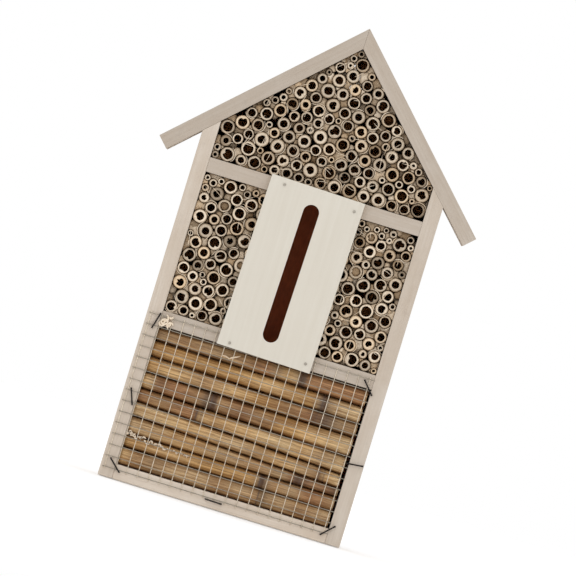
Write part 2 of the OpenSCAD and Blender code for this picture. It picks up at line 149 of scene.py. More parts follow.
class materialBench:
    # a small bench for wiring up one node material

    def __init__(self, name):
        self.material = bpy.data.materials.new(name)
        self.material.use_nodes = True
        self.tree = self.material.node_tree
        self.shader = self.tree.nodes["Principled BSDF"]

    def node(self, kind, **inputs):
        made = self.tree.nodes.new(kind)
        for key, value in inputs.items():
            made.inputs[key.replace("_", " ")].default_value = value
        return made

    def join(self, source, target):
        self.tree.links.new(source, target)
        return target

    def coords(self, scale=(1, 1, 1), turn=(0, 0, 0)):
        where = self.tree.nodes.new("ShaderNodeTexCoord")
        # turned first and stretched after, so the grain follows the turn
        turned = self.node("ShaderNodeMapping", Rotation=turn)
        place = self.node("ShaderNodeMapping", Scale=scale)
        self.join(where.outputs["Object"], turned.inputs["Vector"])
        self.join(turned.outputs["Vector"], place.inputs["Vector"])
        return place.outputs["Vector"]

    def grainNoise(self, vector, scale, detail=6, roughness=0.6, distortion=0.0):
        made = self.node("ShaderNodeTexNoise", Scale=scale, Detail=detail, Roughness=roughness,
                         Distortion=distortion)
        self.join(vector, made.inputs["Vector"])
        return made.outputs["Fac"]

    def ramp(self, factor, stops):
        made = self.tree.nodes.new("ShaderNodeValToRGB")
        bar = made.color_ramp
        while len(bar.elements) < len(stops):
            bar.elements.new(0.5)
        for element, (place, colour) in zip(bar.elements, stops):
            element.position = place
            element.color = (*colour, 1) if len(colour) == 3 else colour
        self.join(factor, made.inputs["Fac"])
        return made.outputs["Color"]

    def mix(self, factor, first, second, blend="MIX"):
        made = self.tree.nodes.new("ShaderNodeMix")
        made.data_type = "RGBA"
        made.blend_type = blend
        sockets = (made.inputs[0], made.inputs[6], made.inputs[7])
        for socket, value in zip(sockets, (factor, first, second)):
            if isinstance(value, (int, float)):
                socket.default_value = value
            elif isinstance(value, tuple):
                socket.default_value = (*value, 1)
            else:
                self.join(value, socket)
        return made.outputs[2]

    def maths(self, operation, first, second=0.0, third=0.0):
        made = self.tree.nodes.new("ShaderNodeMath")
        made.operation = operation
        for socket, value in zip(made.inputs, (first, second, third)):
            if isinstance(value, (int, float)):
                socket.default_value = value
            else:
                self.join(value, socket)
        return made.outputs[0]

    def stretch(self, factor, low, high, newLow=0.0, newHigh=1.0):
        made = self.tree.nodes.new("ShaderNodeMapRange")
        names = ("From Min", "From Max", "To Min", "To Max")
        for key, value in zip(names, (low, high, newLow, newHigh)):
            made.inputs[key].default_value = value
        self.join(factor, made.inputs["Value"])
        return made.outputs["Result"]

    def bump(self, height, strength, distance):
        made = self.node("ShaderNodeBump", Strength=strength, Distance=distance)
        self.join(height, made.inputs["Height"])
        self.join(made.outputs["Normal"], self.shader.inputs["Normal"])

    def finish(self, colour, rough, relief, specular=0.5, metallic=0.0):
        # rough holds a source and its range; relief a height, its strength and its depth
        self.join(colour, self.shader.inputs["Base Color"])
        self.join(self.stretch(*rough), self.shader.inputs["Roughness"])
        self.bump(*relief)
        self.shader.inputs["Specular IOR Level"].default_value = specular
        self.shader.inputs["Metallic"].default_value = metallic
        return self.material

    def tones(self, source, pair, low=0.3, high=0.7):
        return self.ramp(source, [(low, pair[0]), (high, pair[1])])

    def facing(self):
        # how far a face looks to the rear
        where = self.tree.nodes.new("ShaderNodeTexCoord")
        split = self.tree.nodes.new("ShaderNodeSeparateXYZ")
        self.join(where.outputs["Normal"], split.inputs["Vector"])
        return split.outputs["Y"]

    def shade(self):
        made = self.tree.nodes.new("ShaderNodeVertexColor")
        made.layer_name = "shade"
        split = self.tree.nodes.new("ShaderNodeSeparateColor")
        self.join(made.outputs["Color"], split.inputs["Color"])
        return made, split.outputs


boardLook = {
    "paleWash": (0.62, 0.545, 0.465),
    "midWash": (0.56, 0.475, 0.39),
    "bareWood": (0.43, 0.335, 0.25),
    "greyStain": (0.36, 0.31, 0.27),
    "grainWidth": 900.0,
    "grainLength": 28.0,
    "roughness": (0.62, 0.85),
}


def washedBoard(name, turnY, tint=1.0, seed=0.0):
    # sawn board with a thin whitewash; turnY lays the grain along the board
    bench = materialBench(name)
    look = boardLook
    flat = bench.coords((1, 1, 1), (0, turnY, 0))
    fibre = bench.coords((look["grainWidth"], look["grainWidth"], look["grainLength"]), (0, turnY, 0))
    plank = bench.coords((150, 150, 9), (0, turnY, 0))
    fine = bench.grainNoise(fibre, 1.0, 5, 0.65)
    rings = bench.grainNoise(plank, 1.0, 4, 0.55, 0.9)
    patches = bench.grainNoise(flat, 38.0 + seed, 3, 0.6)
    grime = bench.grainNoise(flat, 160.0, 4, 0.7)
    tone = lambda c: tuple(v * tint for v in c)
    wash = bench.ramp(patches, [(0.3, tone(look["midWash"])), (0.62, tone(look["paleWash"]))])
    wood = bench.ramp(rings, [(0.35, tone(look["bareWood"])), (0.7, tone(look["midWash"]))])
    thin = bench.stretch(rings, 0.38, 0.62, 0.0, 0.42)
    body = bench.mix(thin, wash, wood)
    streaks = bench.stretch(fine, 0.42, 0.7, 0.0, 0.30)
    body = bench.mix(streaks, body, tone(look["bareWood"]))
    dirt = bench.stretch(grime, 0.6, 0.8, 0.0, 0.22)
    body = bench.mix(dirt, body, tone(look["greyStain"]))
    height = bench.maths("ADD", fine, bench.maths("MULTIPLY", rings, 1.4))
    return bench.finish(body, (fine, 0.3, 0.7, *look["roughness"]), (height, 0.5, 0.00025), 0.3)


def plainWood(name, dark, light, scale=(900, 900, 30), turnY=0.0, roughness=0.7, bump=0.0002):
    bench = materialBench(name)
    fibre = bench.coords(scale, (0, turnY, 0))
    fine = bench.grainNoise(fibre, 1.0, 6, 0.6)
    broad = bench.grainNoise(bench.coords((1, 1, 1)), 55.0, 3, 0.5)
    body = bench.ramp(fine, [(0.32, dark), (0.68, light)])
    body = bench.mix(bench.stretch(broad, 0.35, 0.75, 0.0, 0.35), body, dark)
    rough = (fine, 0.2, 0.8, roughness - 0.08, roughness + 0.12)
    return bench.finish(body, rough, (fine, 0.5, bump), 0.3)


def metalLook(name, dark, light, roughness, scale=900.0, metallic=1.0):
    bench = materialBench(name)
    spots = bench.grainNoise(bench.coords(), scale, 4, 0.6)
    body = bench.tones(spots, (dark, light), 0.35, 0.65)
    rough = (spots, 0.3, 0.7, roughness * 0.75, min(1.0, roughness * 1.3))
    return bench.finish(body, rough, (spots, 0.3, 0.00004), metallic=metallic)


backLook = {
    "rearDark": (0.16, 0.075, 0.036), "rearLight": (0.27, 0.14, 0.07), "rearCloud": (0.13, 0.062, 0.03),
    "paintedLitDark": (0.60, 0.125, 0.034), "paintedLitBright": (0.76, 0.18, 0.052),
}


def backWithPaintedLight(name):
    # hardboard, red-brown; the side that faces the bays is far brighter and redder than the rear, partly
    # the board's own colour and partly painted light for the dim bays
    bench = materialBench(name)
    look = backLook
    inward = bench.stretch(bench.facing(), 0.0, -0.5)
    fibre = bench.grainNoise(bench.coords((700, 700, 260)), 1.0, 5, 0.65)
    clouds = bench.grainNoise(bench.coords(), 34.0, 4, 0.6)
    rear = bench.tones(fibre, (look["rearDark"], look["rearLight"]))
    rear = bench.mix(bench.stretch(clouds, 0.4, 0.7, 0.0, 0.4), rear, look["rearCloud"])
    paintedLitInner = bench.tones(fibre, (look["paintedLitDark"], look["paintedLitBright"]))
    # the inward face takes the brighter colour, partly painted light
    body = bench.mix(inward, rear, paintedLitInner)
    return bench.finish(body, (clouds, 0.3, 0.7, 0.5, 0.72), (fibre, 0.4, 0.00015))


plyLook = {
    "veneerDark": (0.628, 0.582, 0.500), "veneerLight": (0.662, 0.62, 0.542),
    "veneerCloud": (0.60, 0.545, 0.455),
    "layerDark": (0.30, 0.205, 0.12), "layerMiddle": (0.56, 0.46, 0.33), "layerLight": (0.66, 0.57, 0.43),
}


def thinPly(name):
    # pale veneer; the glued layers show where a face looks sideways
    bench = materialBench(name)
    look = plyLook
    flat = bench.stretch(bench.maths("ABSOLUTE", bench.facing()), 0.45, 0.8)
    grain = bench.grainNoise(bench.coords((420, 420, 10)), 1.0, 5, 0.6)
    clouds = bench.grainNoise(bench.coords(), 30.0, 3, 0.5)
    veneer = bench.tones(grain, (look["veneerDark"], look["veneerLight"]))
    veneer = bench.mix(bench.stretch(clouds, 0.4, 0.75, 0.0, 0.22), veneer, look["veneerCloud"])
    layers = bench.grainNoise(bench.coords((40, 1500, 40)), 1.0, 2, 0.4)
    sides = bench.ramp(layers, [(0.38, look["layerDark"]), (0.46, look["layerMiddle"]),
                                (0.62, look["layerLight"])])
    body, height = bench.mix(flat, sides, veneer), bench.maths("ADD", grain, layers)
    return bench.finish(body, (grain, 0.3, 0.7, 0.5, 0.68), (height, 0.3, 0.00006), 0.35)


zincLook = {
    "paintedShadeZinc": ((0.17, 0.145, 0.115), (0.28, 0.25, 0.20)), "bright": ((0.62, 0.53, 0.41), (0.82, 0.73, 0.59)),
    "metallic": 0.35,
}


def wireZinc(name):
    # zinc in a shaded and a lit tone, as painted shade and painted light; shade's red says how much of the
    # lit tone a wire gets
    bench = materialBench(name)
    paintedLightShare = bench.shade()[1]["Red"]
    spots = bench.grainNoise(bench.coords(), 700.0, 4, 0.6)
    paintedShadeZinc, bright = (bench.tones(spots, zincLook[key], 0.35, 0.65) for key in ("paintedShadeZinc", "bright"))
    return bench.finish(bench.mix(paintedLightShare, paintedShadeZinc, bright), (spots, 0.3, 0.7, 0.42, 0.62),
                        (spots, 0.3, 0.00003), metallic=zincLook["metallic"])


reedColours = {   # dark and light end of each finish
    "skin": ((0.27, 0.195, 0.125), (0.53, 0.42, 0.29)), "rim": ((0.60, 0.50, 0.385), (0.86, 0.77, 0.65)),
    # lip and deep are painted shade: the inside of the bore is darkened towards its depth
    "lip": ((0.36, 0.255, 0.16), (0.60, 0.49, 0.36)), "deep": ((0.075, 0.03, 0.012), (0.15, 0.072, 0.032)),
    "pith": ((0.42, 0.155, 0.045), (0.62, 0.26, 0.09)), "pale": ((0.42, 0.375, 0.32), (1.08, 1.04, 0.985)),
    "golden": (1.0, 0.84, 0.62), "dusty": (0.55, 0.47, 0.38),
}


def reedLook(name):
    # shade holds: red 0 skin, 0.5 cut rim, 1 deep bore painted dark as shade; green is how pale the stalk
    # is, blue how golden
    bench = materialBench(name)
    look = reedColours
    layer, (zone, tone, warm) = bench.shade()
    fibre = bench.grainNoise(bench.coords((1500, 60, 1500)), 1.0, 4, 0.6)
    speck = bench.grainNoise(bench.coords(), 2300.0, 3, 0.6)
    cloud = bench.grainNoise(bench.coords(), 420.0, 3, 0.6)
    rim = bench.tones(speck, look["rim"], 0.3, 0.62)
    skin, lip, deep = (bench.tones(fibre, look[key]) for key in ("skin", "lip", "deep"))
    body = bench.mix(bench.stretch(zone, 0.12, 0.5), skin, rim)
    # painted shade: the lip and the deep bore darken the inside of the tube
    body = bench.mix(bench.stretch(zone, 0.6, 0.74), body, lip)
    body = bench.mix(bench.stretch(zone, 0.76, 0.97), body, deep)
    pale = bench.mix(tone, *look["pale"])
    body = bench.mix(1.0, body, pale, "MULTIPLY")
    body = bench.mix(bench.stretch(warm, 0.6, 1.0, 0.0, 0.6), body, look["golden"], "MULTIPLY")
    body = bench.mix(bench.stretch(cloud, 0.5, 0.75, 0.0, 0.4), body, look["dusty"], "MULTIPLY")
    pith = bench.tones(cloud, look["pith"], 0.35, 0.65)
    body = bench.mix(layer.outputs["Alpha"], pith, body)
    height = bench.maths("ADD", fibre, speck)
    return bench.finish(body, (speck, 0.3, 0.7, 0.55, 0.85), (height, 0.6, 0.00015), 0.35)


bambooColours = {
    "shadowed": (0.50, 0.385, 0.27), "bright": (1.34, 1.36, 1.40),   # both multiply the cane's own tint
    "crack": (0.075, 0.038, 0.02), "nodeScar": (0.09, 0.06, 0.05),
}


def bambooLook(name):
    # the cane's tint comes with its corner points; alpha rises to 1 on the scar of a node
    bench = materialBench(name)
    layer = bench.shade()[0]
    tint, ring = layer.outputs["Color"], layer.outputs["Alpha"]
    streak = bench.grainNoise(bench.coords((14, 900, 900)), 1.0, 7, 0.72)
    crack = bench.grainNoise(bench.coords((9, 900, 900)), 1.0, 3, 0.5, 0.4)
    fleck = bench.grainNoise(bench.coords((90, 1100, 1100)), 1.0, 4, 0.7)
    cloud = bench.grainNoise(bench.coords((34, 150, 150)), 1.0, 4, 0.65)
    shadowed, bright = (bench.mix(1.0, tint, bambooColours[key], "MULTIPLY")
                        for key in ("shadowed", "bright"))
    body = bench.mix(bench.stretch(streak, 0.38, 0.47, 1.0, 0.0), tint, bright)
    body = bench.mix(bench.stretch(streak, 0.5, 0.6, 0.0, 0.9), body, shadowed)
    body = bench.mix(bench.stretch(fleck, 0.53, 0.68, 0.0, 0.75), body, shadowed)
    body = bench.mix(bench.stretch(cloud, 0.5, 0.68, 0.0, 0.7), body, shadowed)
    line = bench.maths("ABSOLUTE", bench.maths("SUBTRACT", crack, 0.5))
    body = bench.mix(bench.stretch(line, 0.0, 0.02, 0.8, 0.0), body, bambooColours["crack"])
    body = bench.mix(bench.stretch(ring, 0.6, 1.0, 0.0, 0.8), body, bambooColours["nodeScar"])
    height = bench.maths("ADD", streak, fleck)
    return bench.finish(body, (streak, 0.3, 0.7, 0.36, 0.6), (height, 0.5, 0.00022), 0.4)


grainUp, grainAcross = 0.0, math.pi / 2
roofTurn = math.radians(1.2)
materials = {
    "wallWood": washedBoard("wallWood", grainUp, 1.01),
    # painted shade: the right wall's copy of the wall wood is darker than the left wall's
    "wallWoodRightPaintedShade": washedBoard("wallWoodRightPaintedShade", grainUp, 0.95, 3.0),
    # painted light: the floor board's copy is brighter, making up for the shade beside the floor
    "floorWoodPaintedLight": washedBoard("floorWoodPaintedLight", grainAcross, 1.12, 1.0),
    "shelfWood": washedBoard("shelfWood", grainAcross, 0.86, 2.0),
    "roofWoodLeft": washedBoard("roofWoodLeft", -math.pi / 4 - roofTurn, 0.81, 5.0),
    "roofWoodRight": washedBoard("roofWoodRight", math.pi / 4 - roofTurn, 0.84, 7.0),
    "brownBack": backWithPaintedLight("brownBack"),
    "rawPine": plainWood("rawPine", (0.36, 0.2, 0.09), (0.55, 0.36, 0.19)),
    "plyFace": thinPly("plyFace"),
    "reed": reedLook("reed"),
    "bamboo": bambooLook("bamboo"),
    "meshZinc": wireZinc("meshZinc"),
    "darkSteel": metalLook("darkSteel", (0.012, 0.011, 0.012), (0.05, 0.042, 0.038), 0.5),
    "nailSteel": metalLook("nailSteel", (0.32, 0.30, 0.28), (0.55, 0.54, 0.52), 0.45),
    "hangerZinc": metalLook("hangerZinc", (0.5, 0.5, 0.5), (0.72, 0.72, 0.7), 0.42, 400.0),
    "bradSteel": metalLook("bradSteel", (0.30, 0.27, 0.225), (0.46, 0.42, 0.36), 0.5, 900.0, 0.6),
}
print("materials ready")


# boards keep their exact shape, with softened edges

boardFinish = {
    "left_wall": "wallWood", "right_wall": "wallWoodRightPaintedShade",
    "floor_board": "floorWoodPaintedLight", "lower_shelf": "shelfWood", "upper_shelf": "shelfWood",
    "roof_left": "roofWoodLeft", "roof_right": "roofWoodRight",
    "back_panel": "brownBack", "divider_left": "rawPine", "divider_right": "rawPine",
    "left_wall_nails": "nailSteel", "right_wall_nails": "nailSteel", "roof_nails": "nailSteel",
    "back_panel_nails": "nailSteel", "hanger_plate": "hangerZinc", "hanger_screws": "hangerZinc",
    "butterfly_panel_brads": "bradSteel", "butterfly_panel": "plyFace",
}
edgeRounding = {   # metres taken off the sharp edges
    "left_wall": 0.0005, "right_wall": 0.0005, "floor_board": 0.0005, "lower_shelf": 0.0004,
    "upper_shelf": 0.0004, "roof_left": 0.0003, "roof_right": 0.0003, "butterfly_panel": 0.00028,
    "divider_left": 0.0003, "divider_right": 0.0003,
}


def softenedBoard(nodeName, material, rounding):
    # the same board with worn edges: flat faces are made whole before their edges are rounded
    mesh = nodes[nodeName].data.copy()
    work = bmesh.new()
    work.from_mesh(mesh)
    bmesh.ops.remove_doubles(work, verts=work.verts, dist=0.000005)
    bmesh.ops.dissolve_limit(work, angle_limit=math.radians(0.4), verts=work.verts, edges=work.edges)
    # long edges only: the rims of nail holes stay as drilled
    edges = [e for e in work.edges if len(e.link_faces) == 2 and e.calc_face_angle(0) > math.radians(40)
             and e.calc_length() > 0.0032]
    bmesh.ops.bevel(work, geom=edges, offset=rounding, segments=2, profile=0.5, affect="EDGES",
                    clamp_overlap=True)
    bmesh.ops.triangulate(work, faces=work.faces)
    work.to_mesh(mesh)
    work.free()
    mesh.materials.clear()
    mesh.materials.append(material)
    for face in mesh.polygons:
        face.use_smooth = False
    piece = bpy.data.objects.new(nodeName + "_worn", mesh)
    bpy.context.scene.collection.objects.link(piece)
    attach(piece, "root")
    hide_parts(nodeName)


for nodeName, finish in boardFinish.items():
    part = nodes[nodeName]
    part.data.materials.clear()
    part.data.materials.append(materials[finish])
    if nodeName in edgeRounding:
        softenedBoard(nodeName, materials[finish], edgeRounding[nodeName])
print("boards finished")


# reed tubes, the broken bits between them and their loose fibres

tubeLook = {
    "around": 30, "swell": 0.982, "boreScale": 0.95, "oval": 0.05, "flapShare": 0.48,
    "pluggedShare": 0.022, "greyShare": 0.07, "seed": 4,
    "paleness": {"gable": 0.80, "left": 1.1, "right": 1.05},
    # each pair is the least amount and the room above it
    "tone": (0.35, 0.65), "flapDepth": (0.10, 0.42), "flapWidth": (0.25, 0.75), "nodeWall": (0.016, 0.006),
    "slope": 0.16, "offCentre": 0.12, "rimRoughness": 0.00022,
}


rimRows = (   # share of the way from bore to outline, distance behind the front, zone of the finish; low zones give the outer cut face the darker skin finish, partly its rounded shoulder and partly painted shade where stalks touch
    (1.0, 0.02, 0.0), (1.0, 0.008, 0.0), (1.0, 0.0036, 0.03),
    (0.99, 0.0015, 0.06), (0.94, 0.0008, 0.12), (0.80, 0.0003, 0.24), (0.58, 0.00006, 0.46),
    # rows with high zones run into the bore, where the lip and deep finishes are painted shade
    (0.28, 0.0, 0.52), (0.06, 0.00008, 0.56), (-0.03, 0.0004, 0.6), (-0.05, 0.0012, 0.68),
    (-0.03, 0.003, 0.8), (0.0, 0.006, 0.92), (0.0, 0.014, 1.0),
)


def stalkFacts(nodeName):
    facts = []
    for corners in loosePieces(nodeName):
        low, high = corners.min(0), corners.max(0)
        x, z = (low[0] + high[0]) / 2, (low[2] + high[2]) / 2
        facts.append({
            "x": x, "z": z, "outer": (high[0] - low[0]) / 2, "front": low[1], "rear": high[1],
            "bore": np.hypot(corners[:, 0] - x, corners[:, 2] - z).min(),
        })
    return facts


def innerWall(nodeName, outward):
    # the face of a board that looks into a bay: its direction and how far out it lies
    mesh = nodes[nodeName].data
    return outward[0], outward[1], min(outward[0] * v.co.x + outward[1] * v.co.z for v in mesh.vertices)


def bayWalls():
    left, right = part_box("left_wall")[1].x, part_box("right_wall")[0].x
    slope = math.pi / 4
    gable = [(-1, 0, -left), (1, 0, right), (0, -1, -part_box("upper_shelf")[1].z)]
    gable.append(innerWall("roof_left", (-math.sin(slope - roofTurn), math.cos(slope - roofTurn))))
    gable.append(innerWall("roof_right", (math.sin(slope + roofTurn), math.cos(slope + roofTurn))))
    low, high = -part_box("lower_shelf")[1].z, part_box("upper_shelf")[0].z
    return {
        "gable": gable,
        "left": [(-1, 0, -left), (1, 0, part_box("divider_left")[0].x), (0, -1, low), (0, 1, high)],
        "right": [(-1, 0, -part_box("divider_right")[1].x), (1, 0, right), (0, -1, low), (0, 1, high)],
    }


def wallReach(walls, x, z, dx, dz):
    best = 1.0
    for nx, nz, far in walls:
        lean = nx * dx + nz * dz
        if lean > 1e-6:
            best = min(best, (far - nx * x - nz * z) / lean)
    return max(best, 0.0)


def stalkOutline(stalk, others, walls):
    # the stalk bulges a little into the free room around it
    outline = []
    cx, cz, radius = stalk["x"], stalk["z"], stalk["outer"]
    gapX, gapZ = others[:, 0] - cx, others[:, 1] - cz
    apart = gapX ** 2 + gapZ ** 2
    near = (apart > 1e-12) & (apart < 0.018 ** 2)
    gapX, gapZ, apart, size = gapX[near], gapZ[near], apart[near], others[near, 2]
    for i in range(tubeLook["around"]):
        a = math.tau * i / tubeLook["around"]
        dx, dz = math.cos(a), math.sin(a)
        along = gapX * dx + gapZ * dz
        ahead = along > 1e-6
        reach = radius * tubeLook["swell"]
        if ahead.any():
            line = (apart[ahead] + radius ** 2 - size[ahead] ** 2) / (2 * along[ahead])
            reach = min(reach, line.min() - 0.00002)
        outline.append(min(reach, wallReach(walls, cx, cz, dx, dz) - 0.00002))
    return outline


def reedTubes(nodeName, stalks, others, walls, paleness, rng):
    verts, faces, shades = [], [], []
    look, around = tubeLook, tubeLook["around"]
    for stalk in stalks:
        cx, cz, front, rear = stalk["x"], stalk["z"], stalk["front"], stalk["rear"]
        outer, bore = stalk["outer"], stalk["bore"] * look["boreScale"]
        outline = stalkOutline(stalk, others, walls)
        seed = rng.random() * 50
        tone, warm = paleness * atRandom(rng, look["tone"]), rng.random()
        if rng.random() < look["greyShare"]:
            tone = 0.0
        ovalAt, oval = rng.random() * math.pi, rng.random() * look["oval"]
        slopeAt, slope = rng.random() * math.tau, rng.random() * look["slope"]
        flaps = []
        if rng.random() < look["flapShare"]:
            for _ in range(rng.choice((1, 1, 2))):
                at = rng.random() * math.tau
                flaps.append((at, atRandom(rng, look["flapDepth"]), atRandom(rng, look["flapWidth"])))
        shift = [look["offCentre"] * (rng.random() - 0.5) for _ in range(2)]
        rows = [(1.0, rear - front, 0.0)] + list(rimRows) + [(0.0, rear - front, 1.0)]
        start = len(verts)
        for j, (share, back, zone) in enumerate(rows):
            for i in range(around):
                a = math.tau * i / around
                ca, sa = math.cos(a), math.sin(a)
                out = outline[i] * (1 - oval * (0.5 + 0.5 * math.cos(2 * (a - ovalAt))))
                out *= 1 - 0.02 * (1 + wobble(ca * 1.5, sa * 1.5, back * 60, seed))
                hole = bore * (1 + 0.10 * wobble(ca * 1.3, sa * 1.3, back * 150, seed + 3))
                hole *= 1 + 0.05 * wobble(ca * 5, sa * 5, back * 400, seed + 4)
                if share < 0.5:
                    for flapAt, depth, width in flaps:
                        away = abs((a - flapAt + math.pi) % math.tau - math.pi)
                        if away < width:
                            lip = max(0.0, 1 - abs(back - 0.001) / 0.005)
                            hole *= 1 - depth * lip * (0.5 + 0.5 * math.cos(math.pi * away / width))
                r = hole + (out - hole) * share
                inward = 1 - max(0.0, share)
                y = back
                if 4 <= j <= 11:
                    y += slope * (r * math.cos(a - slopeAt) + outer)
                    y += look["rimRoughness"] * (1 + wobble(ca * 4, sa * 4, share * 3, seed + 9))
                verts.append((cx + r * ca + shift[0] * bore * inward, front + max(y, 0.0),
                              cz + r * sa + shift[1] * bore * inward))
                speck = 0.12 * wobble(ca * 3, sa * 3, share * 6, seed + 5)
                shades.append((zone, min(1.0, max(0.0, tone + speck)), warm, 1))
            if j:
                band(faces, start + (j - 1) * around, start + j * around, around)
        band(faces, start + (len(rows) - 1) * around, start, around)
        # deep inside, the stalk is closed by its own node wall
        hub, wallAt = len(verts), front + atRandom(rng, look["nodeWall"])
        verts.append((cx, wallAt + 0.0008, cz))
        shades.append((0.0, 0.5, 1.0, 0))
        for i in range(around):
            a = math.tau * i / around
            verts.append((cx + bore * 1.08 * math.cos(a), wallAt, cz + bore * 1.08 * math.sin(a)))
            shades.append((0.0, 0.5, 1.0, 0))
        verts.append((cx, wallAt + 0.0014, cz))
        shades.append((0.0, 0.5, 1.0, 0))
        fan(faces, hub, hub + 1, around)
        fan(faces, hub + 1 + around, hub + 1, around)
        if rng.random() < look["pluggedShare"]:
            hub, depth = len(verts), front + 0.0014 + 0.0022 * rng.random()
            verts.append((cx, depth - 0.0004, cz))
            shades.append((0.25, 0.25, 1.0, 1))
            for ring, sink in ((0.55, 0.0), (1.12, 0.0007)):
                for i in range(around):
                    a = math.tau * i / around
                    ca, sa = math.cos(a), math.sin(a)
                    dent = 0.0003 * wobble(ca * 3, sa * 3, ring, seed)
                    verts.append((cx + bore * ring * ca, depth + sink + dent, cz + bore * ring * sa))
                    shades.append((0.22, 0.2 + 0.3 * ring, 1.0, 1))
            verts.append((cx, depth + 0.0025, cz))
            shades.append((0.22, 0.3, 1.0, 1))
            band(faces, hub + 1, hub + 1 + around, around)
            fan(faces, hub, hub + 1, around)
            fan(faces, hub + 1 + 2 * around, hub + 1 + around, around)
    addPiece(nodeName + "_stalks", verts, faces, materials["reed"], (nodeName,), colours=shades)


shardLook = {
    "rays": 18, "smallest": 0.0003, "filled": {"gable": 0.66, "left": 0.84, "right": 0.82},
    "shallow": {"gable": 0.5, "left": 0.72, "right": 0.7}, "furthest": 0.004, "length": 0.012,
    # each pair is the least amount and the room above it
    "shallowDepth": (0.0006, 0.0022), "deepDepth": (0.003, 0.004), "tone": (0.12, 0.8),
    "warm": (0.3, 0.7), "zone": (0.08, 0.38), "tilt": 0.5,
    # share of the reach, distance behind the shard's face, change of zone, share of the tone; the last two
    # darken the rim and sides as painted shade
    "rows": ((0.5, 0.0, 0.0, 1.0), (0.86, 0.0001, -0.02, 0.85), (1.0, 0.0007, -0.1, 0.35),
             (1.0, 0.012, -0.2, 0.2)),
}


keyhole = (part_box("hanger_plate")[0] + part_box("hanger_plate")[1]) / 2


def shardsBetween(bay, circles, fronts, walls, rng):
    # split bits of stalk that fill the gaps between the tubes, most of them pushed back
    look = shardLook
    points = [(c[0], c[1]) for c in circles]
    for x, z, radius in circles:
        for nx, nz, far in walls:
            away = far - nx * x - nz * z
            if radius < away < radius + 0.004:
                points.append((x + nx * away, z + nz * away))
    corners, _, triangles, *_ = delaunay_2d_cdt([Vector(p) for p in points], [], [], 0, 1e-7)
    verts, faces, shades = [], [], []
    table = np.array(circles)
    for triangle in triangles:
        a, b, c = (corners[i] for i in triangle)
        best, where = 0.0, None
        for i in range(1, 8):
            for j in range(1, 8 - i):
                p = a * (i / 8) + b * (j / 8) + c * (1 - (i + j) / 8)
                away = np.hypot(table[:, 0] - p.x, table[:, 1] - p.y)
                room = (away - table[:, 2] * tubeLook["swell"]).min()
                room = min([room] + [far - nx * p.x - nz * p.y for nx, nz, far in walls])
                if room > best:
                    best, where = room, p
        if where is None or best < look["smallest"] or (
                rng.random() > look["filled"][bay] and abs(where.x - keyhole.x) > 0.011):
            continue
        close = np.hypot(table[:, 0] - where.x, table[:, 1] - where.y) < 0.012
        ring = []
        for i in range(look["rays"]):
            angle = math.tau * i / look["rays"]
            dx, dz = math.cos(angle), math.sin(angle)
            reach = min(best * 2.6, look["furthest"], wallReach(walls, where.x, where.y, dx, dz))
            for x, z, radius in table[close]:
                radius = radius * tubeLook["swell"] + 0.00003
                along = (x - where.x) * dx + (z - where.y) * dz
                off = (x - where.x) ** 2 + (z - where.y) ** 2 - along ** 2
                if along > 0 and off < radius ** 2:
                    reach = min(reach, along - math.sqrt(radius ** 2 - off))
            ring.append(max(reach - 0.00004, 0.00008))
        order = np.argsort(np.hypot(table[:, 0] - where.x, table[:, 1] - where.y))[:3]
        front = float(np.mean([fronts[i] for i in order]))
        shallow = rng.random() < look["shallow"][bay]
        depth = atRandom(rng, look["shallowDepth" if shallow else "deepDepth"])
        tone, warm, zone = (atRandom(rng, look[key]) for key in ("tone", "warm", "zone"))
        tiltAt, tilt = rng.random() * math.tau, look["tilt"] * rng.random()
        hollow = 0.0009 if rng.random() < 0.3 and best > 0.0007 else -0.0003
        start = len(verts)
        verts.append((where.x, front + depth + hollow, where.y))
        shades.append((zone + (0.35 if hollow > 0 else 0.1), tone, warm, 1))
        for share, back, paintedShadeZone, paintedShadeShare in look["rows"]:
            for i, reach in enumerate(ring):
                angle = math.tau * i / look["rays"]
                ca, sa = math.cos(angle), math.sin(angle)
                rough = 0.00025 * wobble(ca * 3, sa * 3, share * 3, depth * 9000)
                lean = tilt * reach * share * math.cos(angle - tiltAt)
                verts.append((where.x + reach * share * ca, front + depth + back + rough + lean,
                              where.y + reach * share * sa))
                # painted shade: rim and sides keep less of the tone and take a darker zone
                patch = paintedShadeShare * max(0.0, tone + 0.3 * wobble(ca * 1.6, sa * 1.6, share * 3, depth * 7000))
                shades.append((max(0.0, zone + paintedShadeZone), min(1.0, patch), warm, 1))
        count = look["rays"]
        verts.append((where.x, front + depth + look["length"], where.y))
        shades.append((0.0, tone, warm, 1))
        fan(faces, start, start + 1, count)
        fan(faces, start + 1 + 4 * count, start + 1 + 3 * count, count)
        for row in range(3):
            band(faces, start + 1 + row * count, start + 1 + (row + 1) * count, count)
    addPiece(bay + "Shards", verts, faces, materials["reed"], colours=shades)


fibreLook = {"sheathShare": 0.5, "strays": {"gable": 60, "left": 24, "right": 28}, "sides": 5}


def sweep(path, radii, sides, verts, faces, shades, shade, flat=1.0):
    # a rod along a path, drawn out thin where its radius is small
    start = len(verts)
    count = len(path)
    for j, point in enumerate(path):
        ahead = path[min(j + 1, count - 1)] - path[max(j - 1, 0)]
        ahead.normalize()
        side = ahead.cross(Vector((0, 1, 0)))
        if side.length < 1e-4:
            side = ahead.cross(Vector((1, 0, 0)))
        side.normalize()
        lift = ahead.cross(side)
        for i in range(sides):
            a = math.tau * i / sides
            across, up = math.cos(a) * radii[j], math.sin(a) * radii[j] * flat
            verts.append(tuple(point + side * across + lift * up))
            shades.append(shade)
    skinRings(faces, start, count, sides)


